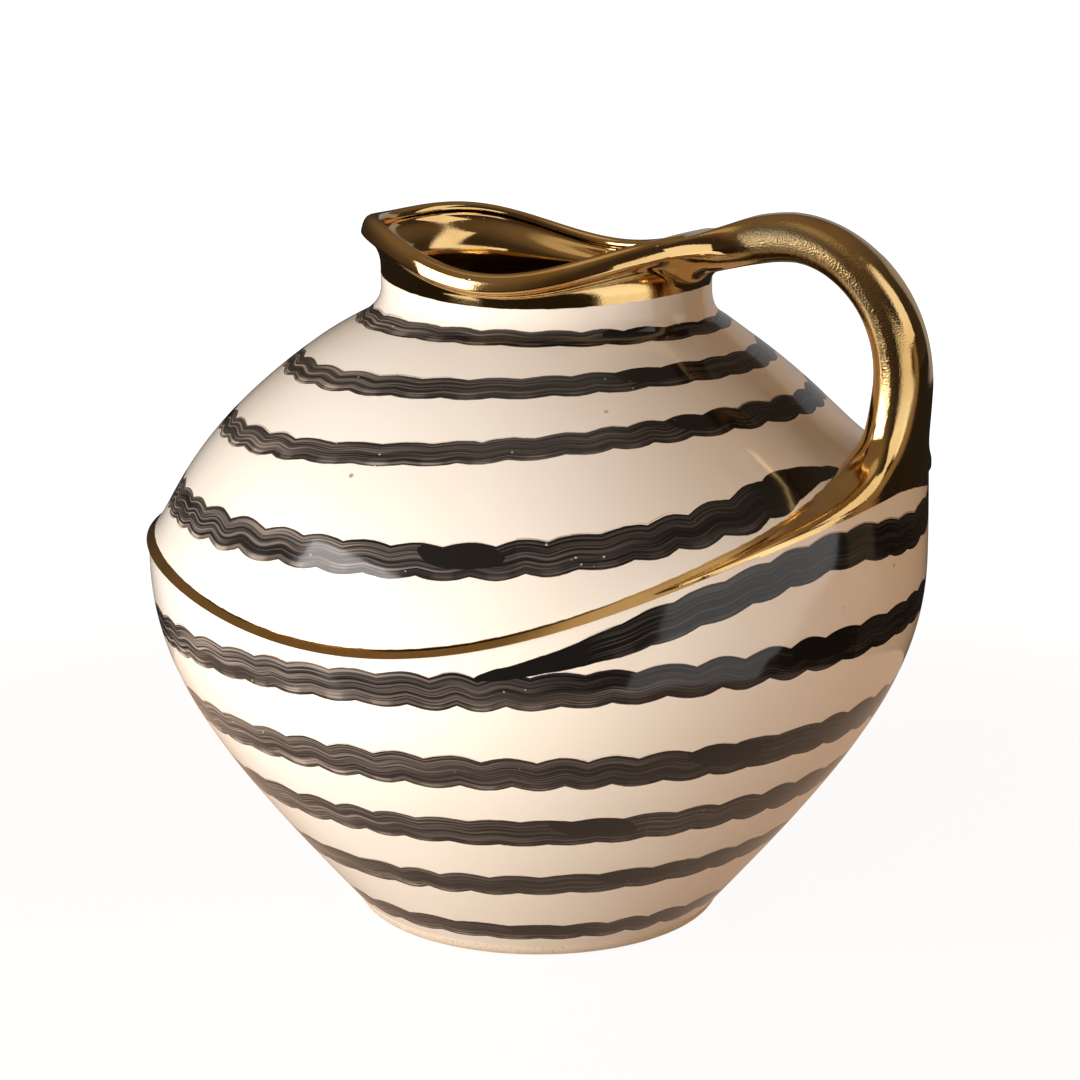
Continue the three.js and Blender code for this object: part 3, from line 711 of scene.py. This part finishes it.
# Lip
# The collar that flares from the neck to a rolled rim, pulled up into a low spout opposite the handle.
# It is one ring of clay joined to the neck with slip, and gilded inside and out.
RIM_WAVE, RIM_TILT = (NECK_HEIGHT + 15, -1.4, 4.75, 1.1, -1.5), -1
RIM_DIP, RIM_DIP_ANGLE, RIM_DIP_WIDTH = 1.2, np.radians(32), np.radians(20)
LIP_RADIUS, LIP_BEAD, FLARE_POWER, FLARE_SIDE_POWER = 51.5, 2.8, 2, 4
LIP_FOLD_DROP, LIP_BAND_RISE, LIP_BAND_LEAN = 2.1, 2.3, (0, 0.4, 1, 3.2)
FOLD_PLACE, FOLD_ROUND = 0.6, 0.04
CROWN_OVER, CROWN_TURN, CROWN_DROP = 0.7, 0.9, 2.2
THROAT_SWELL, THROAT_SWELL_DROP, THROAT_FLARE = 1.6, 5, 0.45


def rim_at(angle):
    """Height of the rim: a saddle, high at the spout and the handle, with one side a little higher.

    Behind the handle it dips a little, where the strap was pulled from it.
    """
    dip = RIM_DIP * swell(angle, RIM_DIP_ANGLE, RIM_DIP_WIDTH)
    return wave_at(angle, RIM_WAVE) + RIM_TILT * np.sin(angle) - dip


def flare_radius(angle, share):
    """Radius of the flare at a share of its height: the overhang grows as a power of the share.

    At the spout and the handle the flare sweeps out evenly; at the sides it stands upright for longer.
    """
    power = FLARE_POWER + FLARE_SIDE_POWER * np.sin(angle) ** 2
    return NECK_RADIUS + (LIP_RADIUS - NECK_RADIUS) * share**power


def lip_outside(angle, place):
    """Radius and height of the lip's outside: a hollow flare, a small round fold, a leaning band.

    The flare climbs from the seat, place 0, to the fold at FOLD_PLACE, and the band leans inwards
    from there to the top of the rim, place 1. Fold and band are curves of repeated straight blends.
    """
    foot = wave_at(angle, SEAT_WAVE)
    top = rim_at(angle)
    fold = top - LIP_BEAD - LIP_FOLD_DROP
    band_radius = [LIP_RADIUS - lean for lean in LIP_BAND_LEAN]
    band_height = [fold, fold + LIP_BAND_RISE, top, top]
    up_flare = np.clip(place / FOLD_PLACE, 0, 1)
    up_band = np.clip((place - FOLD_PLACE) / (1 - FOLD_PLACE), 0, 1)
    before, after = 1 - FOLD_ROUND / FOLD_PLACE, FOLD_ROUND / (1 - FOLD_PLACE)
    round_fold = np.clip((place - FOLD_PLACE) / (2 * FOLD_ROUND) + 0.5, 0, 1)
    near_fold = np.abs(place - FOLD_PLACE) < FOLD_ROUND
    flare = (flare_radius(angle, up_flare), foot + up_flare * (fold - foot))
    flare_end = (flare_radius(angle, before), foot + before * (fold - foot))
    both = []
    for below, end, band in zip(flare, flare_end, (band_radius, band_height)):
        arc = blend([end, band[0], blend(band, after)], round_fold)
        sides = np.where(place < FOLD_PLACE, below, blend(band, up_band))
        both.append(np.where(near_fold, arc, sides))
    return np.broadcast_arrays(*both)


def corner_at(radius, height):
    """A curve's corner for every angle: one radius, and a height that follows the angle."""
    return np.stack([np.full_like(height, radius), height], axis=-1)


lip_places = np.concatenate([
    np.linspace(0, FOLD_PLACE - FOLD_ROUND, 26)[:-1],
    np.linspace(FOLD_PLACE - FOLD_ROUND, FOLD_PLACE + FOLD_ROUND, 11)[:-1],
    np.linspace(FOLD_PLACE + FOLD_ROUND, 1, 26),
])
lip_face = np.stack(lip_outside(angles[:, None], lip_places), axis=-1)
seat = wave_at(angles, SEAT_WAVE)
rim = rim_at(angles)
throat_radius = LIP_RADIUS - 2 * LIP_BEAD
crown = bezier(
    [
        corner_at(LIP_RADIUS - LIP_BAND_LEAN[-1], rim),
        corner_at(throat_radius + CROWN_OVER, rim),
        corner_at(throat_radius, rim - CROWN_TURN),
        corner_at(throat_radius, rim - CROWN_DROP),
    ],
    np.linspace(0, 1, 16)[1:],
)
throat = bezier(
    [
        corner_at(throat_radius, rim - CROWN_DROP),
        corner_at(throat_radius + THROAT_SWELL, rim - THROAT_SWELL_DROP),
        corner_at(NECK_RADIUS - WALL, seat + THROAT_FLARE * (rim - seat)),
        corner_at(NECK_RADIUS - WALL, seat),
    ],
    np.linspace(0, 1, 26)[1:],
)
lip = turned("lip_gilded", grid_section(lip_face, crown, throat))
lip.data.materials.append(lustre)
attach(lip, "root")
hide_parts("lip")

# Handle
# A strap pulled from a lump of clay, blended by hand into the lip, bent over and pressed down on the
# ledge, where its root spreads both ways into arms that die out in the ridge. Gilded all over.
HANDLE_TOP, HANDLE_TOP_OUT = 203, 74
HANDLE_REACH, HANDLE_REACH_HEIGHT = 113.6, 157
HANDLE_TOP_RUN, HANDLE_SIDE_RUN, HANDLE_CLIMB = 15, 25, np.radians(20)
STRAP_HALF_WIDTH, STRAP_TOP, STRAP_BEND, STRAP_SIDE, STRAP_POWER = 9.5, 13, 12, 14, 2.4
STRAP_NARROW, STRAP_HOLLOW, STRAP_OVER_RIM = 1.7, 0.9, 0.4
ROOT_SPREAD, ROOT_CREST, ROOT_DEPTH, ROOT_HEIGHT = 100, 4, 14, 9
FRONT_POWER, BACK_POWER, SLIM_HEIGHT = 2.6, 3.2, 18
# The strap widens by this distance from the lip; the rest are heights above the ledge
WIDE_BY, ROOT_BY, BLUNT_BY, SLOPE_BY = (8, 45), (20, 50), (4, 34), (16, 32)
LIP_ROOT_ANGLE, LIP_ROOT_LOW, LIP_ROOT_TOP, LIP_ROOT_PLACE = np.radians(41), 0.13, 0.985, 0.7
LIP_ROOT_FILLET, LIP_UNDER_ANGLE, LIP_UNDER_EDGE = 4, np.radians(27), 0.85
LIP_BITE, LIP_SINK, LIP_UNDER_SINK, LIP_CLOSING_SINK, LIP_PULL = 3, 0.06, 4, 4.1, 1.15
ROOT_FILLET, ROOT_FILLET_EDGE, ROOT_FILLET_BY = 2.2, 0.8, (5, 22)
ROOT_EDGE, ROOT_TAIL, SKIN_DEPTH = 0.15, (0.5, 1, 1.4), 0.6
SKIRT_BITE, SKIRT_PROUD = 0.2, 0.15
STRAP_COLUMNS, ROOT_LOOPS = 220, 60
WORN_ANGLE, WORN_WIDTH, WORN_FADED = 1.5 * np.pi + 0.35, 0.45, 0.75
# The worn stretch, in loops counted from the lip
WORN_FROM, WORN_FADE, WORN_TO = (46, 62), (90, 135), (160, 200)

strap_start = np.array([LIP_RADIUS + NECK_LEAN - LIP_BITE, rim_at(0) + STRAP_OVER_RIM - STRAP_TOP / 2])
strap_top = np.array([HANDLE_TOP_OUT, HANDLE_TOP - STRAP_TOP / 2])
strap_side = np.array([HANDLE_REACH - STRAP_SIDE / 2, HANDLE_REACH_HEIGHT])
strap_root = np.array([BELLY_RADIUS - ROOT_CREST, ridge_at(0) + BAND_HEIGHT / 2])
strap_rise = (strap_top[0] - strap_start[0]) / 3
strap_drop = np.array([0, (strap_side[1] - strap_root[1]) / 3])
strap_over = [
    strap_start,
    strap_start + strap_rise * np.array([np.cos(HANDLE_CLIMB), np.sin(HANDLE_CLIMB)]),
    strap_top - (strap_rise, 0),
    strap_top,
]
strap_bend = [strap_top, strap_top + (HANDLE_TOP_RUN, 0), strap_side + (0, HANDLE_SIDE_RUN), strap_side]
strap_down = [strap_side, strap_side - strap_drop, strap_root + strap_drop, strap_root]
over_places = np.linspace(LIP_ROOT_PLACE, 1, 30)
bend_places = np.linspace(0, 1, 70)[1:]
down_places = np.sin(np.linspace(0, np.pi / 2, 150))[1:]
strap_turn = np.linspace(0, 2 * np.pi, STRAP_COLUMNS, endpoint=False)
thinning = (STRAP_TOP + STRAP_SIDE) / 2 - STRAP_BEND
thickness = np.concatenate([
    np.full(over_places.shape, STRAP_TOP),
    STRAP_TOP + (STRAP_SIDE - STRAP_TOP) * bend_places - 4 * thinning * bend_places * (1 - bend_places),
    np.full(down_places.shape, STRAP_SIDE),
])[:, None]


def strap_line(shift=0):
    """Middle line of the strap in radius and height: over, round the bend and down, at shifted places."""
    runs = ((strap_over, over_places), (strap_bend, bend_places), (strap_down, down_places))
    return np.vstack([bezier(corners, places + shift) for corners, places in runs])


def lip_skin(angle, place, sunk=0):
    """Points of the lip's outside by angle and place, sunk into it by some millimetres."""
    radius, height = lip_outside(angle, place)
    radius = radius - sunk
    points = [radius * np.cos(angle) + lean_at(height), radius * np.sin(angle), height]
    return np.stack(points, axis=-1)


def unit_loop():
    """Superellipse of half width and half height 1: how far out and how far sideways."""
    out, side = np.cos(strap_turn), np.sin(strap_turn)
    power = 2 / STRAP_POWER
    return np.sign(out) * np.abs(out) ** power, np.sign(side) * np.abs(side) ** power


def strap_loops():
    """Loops of the strap from past the lip to the ledge, across its middle line and round the axis.

    The strap is widest a little inside its middle line. Its width grows as one over the height above
    the ledge, along which the lowest loops slope, and is a little less near the lip.
    """
    out, side = unit_loop()
    middle = strap_line()
    way = strap_line(1e-4) - strap_line(-1e-4)
    way = way / np.hypot(*way.T)[:, None]
    radius, rise = middle[:, :1], middle[:, 1:]
    above = rise - ridge_at(0)
    away = np.hypot(*(middle - strap_start).T)[:, None]
    low = 1 - smooth(above, *ROOT_BY)
    rooted = low / (1 + (above / ROOT_HEIGHT) ** 2)
    slimmed = low / (1 + (above / SLIM_HEIGHT) ** 2)
    half_width = STRAP_HALF_WIDTH + ROOT_SPREAD / above - STRAP_NARROW * (1 - smooth(away, *WIDE_BY))
    hollow = STRAP_HOLLOW * (1 - rooted)
    outer = thickness / 2 + (ROOT_CREST - thickness / 2) * slimmed + hollow
    inner = thickness / 2 + (ROOT_DEPTH - thickness / 2) * rooted - hollow
    power = np.where(side < 0, FRONT_POWER, BACK_POWER)
    power = STRAP_POWER + (power - STRAP_POWER) * (1 - smooth(above, *BLUNT_BY))
    outwards = (1 - np.abs(side) ** power) ** (1 / power)
    across = np.where(out > 0, outwards * outer, out * inner) - hollow
    angle = side * half_width / radius
    distance = radius - across * way[:, 1:]
    along_ridge = 1 - smooth(above, *SLOPE_BY)
    height = rise + across * way[:, :1]
    height = height + along_ridge * (ridge_at(angle) - ridge_at(0))
    return np.stack([distance * np.cos(angle), distance * np.sin(angle), height], axis=-1)


def filleted(loops, amount):
    """Lowers points close to the neck on a quarter circle, by an amount from 0 to 1 along the loop."""
    height = loops[..., 2]
    x, y = loops[..., 0] - NECK_LEAN, loops[..., 1]
    turn, distance = np.arctan2(y, x), np.hypot(x, y)
    foot = wave_at(turn, SEAT_WAVE)
    fold = rim_at(turn) - LIP_BEAD - LIP_FOLD_DROP
    drop = np.zeros_like(height)
    for _ in range(5):
        climbed = np.clip((height - drop - foot) / (fold - foot), 0, 1)
        near = np.clip(1 - (distance - flare_radius(turn, climbed)) / LIP_ROOT_FILLET, 0, 1)
        drop = amount * LIP_ROOT_FILLET * (1 - np.sqrt(1 - near**2))
    return np.stack([loops[..., 0], loops[..., 1], height - drop], axis=-1)


def lip_root(first, second):
    """Loops that blend the strap into the lip.

    They run on cubic curves to the strap's first loop, which they meet along the strap. Above, they
    start on the lip's outside and leave along its surface, from the fold at the sides to over the
    rim. Below, they start inside the lip and come out straight, rounded off to the neck by a fillet.
    """
    out, side = unit_loop()
    under = smooth(-out, 0, LIP_UNDER_EDGE)
    angle = (LIP_ROOT_ANGLE + (LIP_UNDER_ANGLE - LIP_ROOT_ANGLE) * under) * side
    reach = np.where(out > 0, LIP_ROOT_TOP - FOLD_PLACE, FOLD_PLACE - LIP_ROOT_LOW)
    place = FOLD_PLACE + out * reach
    small = 1e-3
    beside = lip_skin(angle * (1 - small), place + small * (FOLD_PLACE - place))
    inwards = beside - lip_skin(angle, place)
    start = lip_skin(angle, place, LIP_SINK + LIP_UNDER_SINK * under)
    leave = inwards / small + (first - start - inwards / small) * under[:, None]
    meet = (second - first) / np.linalg.norm(second - first, axis=-1, keepdims=True)
    meet = meet * LIP_PULL * np.linalg.norm(first - start, axis=-1, keepdims=True)
    t = np.linspace(0, 1, 60)[:-1, None, None]
    cubic = (
        (1 + 2 * t) * (1 - t) ** 2 * start
        + t * (1 - t) ** 2 * leave
        + t**2 * (3 - 2 * t) * first
        - t**2 * (1 - t) * meet
    )
    closing = [
        lip_skin(angle * share, FOLD_PLACE + (place - FOLD_PLACE) * share, LIP_CLOSING_SINK)
        for share in (0.02, 0.5, 0.9)
    ]
    return np.concatenate([closing, filleted(cubic, under)])


def drawn_down(loops):
    """Draws the strap's skin onto the dome at the root.

    A gap to the dome closes along a hyperbola, which leaves a fillet; below the dome's surface the
    skin stays just under it. Outside, the root ends flush with the skirt.
    """
    out, _ = unit_loop()
    tail = loops[-1] - np.array(ROOT_TAIL)[:, None, None] * (0, 0, 1)
    loops = np.concatenate([loops, tail])
    height = loops[..., 2]
    x, y = loops[..., 0] - lean_at(height), loops[..., 1]
    turn, distance = np.arctan2(y, x), np.hypot(x, y)
    host = np.where(height > ridge_at(turn), swept_radius(turn, height), BELLY_RADIUS)
    gap = distance - host
    fillet = ROOT_FILLET * smooth(-out, 0, ROOT_FILLET_EDGE) * (1 - smooth(gap, *ROOT_FILLET_BY))
    closed = np.sqrt(gap**2 + fillet**2) - fillet + ROOT_EDGE * fillet / ROOT_FILLET * gap
    drawn = np.where(gap > 0, closed, np.maximum(ROOT_EDGE * gap, -SKIN_DEPTH))
    drawn = np.where((out > 0) & (gap > -SKIRT_BITE), gap + SKIRT_PROUD, drawn)
    distance = host + drawn
    points = [distance * np.cos(turn) + lean_at(height), distance * np.sin(turn), height]
    return np.stack(points, axis=-1)


strap = strap_loops()
strap_grid = np.concatenate([
    lip_root(strap[0], strap[1]),
    strap[:ROOT_LOOPS],
    drawn_down(strap[ROOT_LOOPS:]),
])
handle = skin("handle_gilded", strap_grid, ring_closed=False)

# The gold is worn matt along the front of the strap's top, where a thumb lies
front = swell(strap_turn, WORN_ANGLE, WORN_WIDTH)
loop = np.arange(len(strap_grid))
along_strap = smooth(loop, *WORN_FROM) * (1 - WORN_FADED * smooth(loop, *WORN_FADE))
along_strap = along_strap * (1 - smooth(loop, *WORN_TO))
worn = handle.data.attributes.new("worn", "FLOAT", "POINT")
worn.data.foreach_set("value", (along_strap[:, None] * front).ravel())
handle.data.materials.append(lustre)
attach(handle, "root")
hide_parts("handle")

# Studio
# A pale floor that fades into a white ground. A large soft lamp stands at the left, four smaller ones fill
# in from the front and the right, and one near the floor throws light up. The cloth, mat, cards, board,
# backdrop and tent round the vase are seen only in the gloss of its glaze and gold.
VIEW_ANGLE = np.radians(24)
AIM = np.array([0, 0, 0.11])
BOUNCE_TILT = np.radians(150)
FLOOR_COLOUR, FLOOR_GLOW, FLOOR_WHITE = (0.52, 0.4, 0.28, 1), 1.2, 0.78
CLOTH, FELT, CARD = (0.018, 0.014, 0.011, 1), (0.5, 0.34, 0.24, 1), (1, 0.97, 0.94, 1)
BOARD, BACKDROP = (0.26, 0.18, 0.11, 1), (0.3, 0.29, 0.29, 1)
TENT_RADIUS, TENT_LOW, TENT_HIGH = 3.8, (0.04, 0.03, 0.023, 1), (0.18, 0.13, 0.085, 1)
TENT_TOP = (0.5, 0.42, 0.32, 1)
WHITE, WARM_GROUND = (1, 1, 1, 1), (0.24, 0.17, 0.115, 1)
CAMERA_PLACE, CAMERA_TILT = (0.3007, -0.6755, 0.2857), 0.238248


def bearing(side, up):
    """Direction from the vase, in degrees to the viewer's right of the camera and above level."""
    side, up = np.radians(side) + VIEW_ANGLE, np.radians(up)
    return np.array([np.sin(side) * np.cos(up), -np.cos(side) * np.cos(up), np.sin(up)])


def soft_lamp(name, side, up, distance, size, watts, colour, in_gloss=False):
    """Flat lamp at a bearing, turned to face the vase. The gloss shows it only where in_gloss says so."""
    lamp = bpy.data.lights.new(name, "AREA")
    lamp.shape = "RECTANGLE"
    lamp.size, lamp.size_y = size
    lamp.energy = watts
    lamp.color = colour
    holder = bpy.data.objects.new(name, lamp)
    holder.location = AIM + distance * bearing(side, up)
    holder.rotation_euler = (np.pi / 2 - np.radians(up), 0, np.radians(side) + VIEW_ANGLE)
    holder.visible_glossy = in_gloss
    bpy.context.scene.collection.objects.link(holder)
    return holder


soft_lamp("key_lamp", -61, 21, 0.95, (0.52, 0.48), 4.85, (1, 0.965, 0.925), in_gloss=True)
soft_lamp("fill_lamp", -26, 24, 1.1, (0.4, 0.4), 0.5, (1, 0.86, 0.72))
soft_lamp("low_lamp", -42, 2, 0.9, (0.7, 0.2), 1.65, (1, 0.95, 0.88))
bounce_lamp = soft_lamp("bounce_lamp", -34, -15.4, 0.4, (0.4, 0.25), 3.5, (1, 0.96, 0.9))
bounce_lamp.rotation_euler.x = BOUNCE_TILT
soft_lamp("warm_lamp", 80, 12, 1.1, (0.7, 0.35), 2.8, (1, 0.72, 0.5))
soft_lamp("amber_lamp", 100, 22, 1.1, (0.4, 0.4), 0.9, (1, 0.5, 0.2))


def sheet(name, grid):
    """Open sheet over a grid of points in metres, for the stage."""
    rows, columns = grid.shape[:2]
    index = np.arange(rows * columns).reshape(rows, columns)
    quads = np.stack([index[:-1, :-1], index[1:, :-1], index[1:, 1:], index[:-1, 1:]], axis=-1)
    mesh = bpy.data.meshes.new(name)
    mesh.from_pydata(grid.reshape(-1, 3), [], quads.reshape(-1, 4).tolist())
    mesh.shade_smooth()
    piece = bpy.data.objects.new(name, mesh)
    bpy.context.scene.collection.objects.link(piece)
    return piece


def polar(radii, degrees, height):
    """Sheet in rings round the axis: x and y from radius and bearing, which may differ with the ring."""
    radius, turn = np.broadcast_arrays(np.array(radii)[:, None], np.radians(degrees))
    turn = turn + VIEW_ANGLE
    return np.stack([radius * np.sin(turn), -radius * np.cos(turn), height + 0 * radius], axis=-1)


def standing(distance, degrees, low, high):
    """Sheet that stands upright on an arc round the axis."""
    return polar([distance, distance], degrees, np.array([[low], [high]]))


def gloss_sheet(name, grid, colour):
    """Sheet that glows, in one colour or one that follows its place, and shows only in reflections."""
    piece = sheet(name, grid)
    material, _, place = finish(name)
    tree = material.node_tree
    light = tree.nodes.new("ShaderNodeEmission")
    feed(light, {"Color": colour(place) if callable(colour) else colour, "Strength": 1})
    tree.links.new(light.outputs[0], tree.nodes["Material Output"].inputs["Surface"])
    material.cycles.emission_sampling = "NONE"
    piece.data.materials.append(material)
    piece.visible_camera = False
    piece.visible_diffuse = False
    piece.visible_transmission = False
    piece.visible_volume_scatter = False
    piece.visible_shadow = False


def white_rays(tree):
    """1 for rays that meet a white ground: from the camera, off gloss and through glass. 0 for others."""
    rays = tree.nodes.new("ShaderNodeLightPath").outputs
    seen = Tone(rays["Is Camera Ray"]).math("MAXIMUM", Tone(rays["Is Glossy Ray"]))
    return seen.math("MAXIMUM", Tone(rays["Is Transmission Ray"]))


full_turn = np.linspace(-180, 180, 73)
floor = sheet("floor", polar([0, 0.2, 0.5, 1, 2, 5, 12], full_turn, 0))
ground, shader, place = finish("pale_floor")
tree = ground.node_tree
feed(shader, {"Base Color": FLOOR_COLOUR, "Roughness": 0.9})
far_out = place.node("ShaderNodeVectorMath", {"operation": "LENGTH"}, {0: place}, "Value")
whiter = FLOOR_WHITE + (1 - FLOOR_WHITE) * far_out.step(0.2, 0.75)
mixed = place.node("ShaderNodeMixShader", None, {
    0: white_rays(tree) * whiter,
    1: Tone(shader.outputs[0]),
    2: place.node("ShaderNodeEmission", None, {"Color": WHITE, "Strength": FLOOR_GLOW}),
})
tree.links.new(mixed.socket, tree.nodes["Material Output"].inputs["Surface"])
floor.data.materials.append(ground)

# The dark cloth leaves a gap at the right, with an edge that differs with the distance, for the white card
cloth_radii = [0.25, 0.3, 0.5, 0.65, 1, 2, 3.9]
cloth_left = np.array([20, 22, 30, 34, 36, 36, 36])
cloth_right = np.array([54, 58, 73, 87, 90, 91, 91])
cloth_share = np.linspace(0, 1, 59)
cloth_turn = cloth_right[:, None] + (360 + cloth_left - cloth_right)[:, None] * cloth_share
gloss_sheet("dark_cloth", polar(cloth_radii, cloth_turn, 0.001), CLOTH)
gloss_sheet("brown_mat", polar([0.052, 0.15, 0.25], full_turn, 0.001), FELT)

# White card and window at the right, and a white runner on the floor towards the large lamp
gloss_sheet("white_card", standing(0.92, np.linspace(36, 82, 23), 0, 0.47), CARD)
gloss_sheet("white_window", standing(0.94, np.linspace(80, 108, 15), 0.31, 1.15), CARD)
runner_middle = np.array([-46, -51, -56.5, -57, -57.5, -60])
runner_half = np.array([1.5, 2.2, 2.6, 4, 9, 14])
runner_turn = runner_middle[:, None] + runner_half[:, None] * np.linspace(-1, 1, 7)
gloss_sheet("white_runner", polar([0.2, 0.24, 0.3, 0.4, 0.55, 0.95], runner_turn, 0.002), CARD)

# Brown board beside the card, which lies on the floor and turns up, and a grey backdrop behind the handle
board_height = np.array([[0.0015], [0.0015], [0.3]])
gloss_sheet("brown_board", polar([0.45, 0.93, 0.93], np.linspace(91, 103, 15), board_height), BOARD)
gloss_sheet("grey_backdrop", standing(0.96, np.linspace(134, 178, 23), 0, 0.5), BACKDROP)


def tent_glow(place):
    """Dim brown that grows with the height, less on the handle's side, and a paler top."""
    handle_side, _, height = place.parts()
    lit = (height - 0.75 * handle_side.math("MAXIMUM", 0)).step(-0.2, 3.2)
    return height.step(3.45, 3.72).pick(lit.pick(TENT_LOW, TENT_HIGH), TENT_TOP)


up, turn = np.meshgrid(np.linspace(0, np.pi / 2, 19), np.linspace(-np.pi, np.pi, 73), indexing="ij")
tent_points = np.stack([np.cos(up) * np.cos(turn), np.cos(up) * np.sin(turn), np.sin(up)], axis=-1)
gloss_sheet("brown_tent", TENT_RADIUS * tent_points, tent_glow)

world = bpy.data.worlds.new("white_ground")
bpy.context.scene.world = world
world.use_nodes = True
ground_colour = white_rays(world.node_tree).pick(WARM_GROUND, WHITE)
feed(world.node_tree.nodes["Background"], {"Color": ground_colour, "Strength": 1})

camera = bpy.data.cameras.new("camera")
camera.sensor_width = 36
camera.lens = 88.85
camera.shift_x = 0.0014
viewer = bpy.data.objects.new("camera", camera)
viewer.location = CAMERA_PLACE
viewer.rotation_euler = (np.pi / 2 - CAMERA_TILT, 0, VIEW_ANGLE)
bpy.context.scene.collection.objects.link(viewer)
bpy.context.scene.camera = viewer
bpy.context.scene.view_settings.view_transform = "Standard"
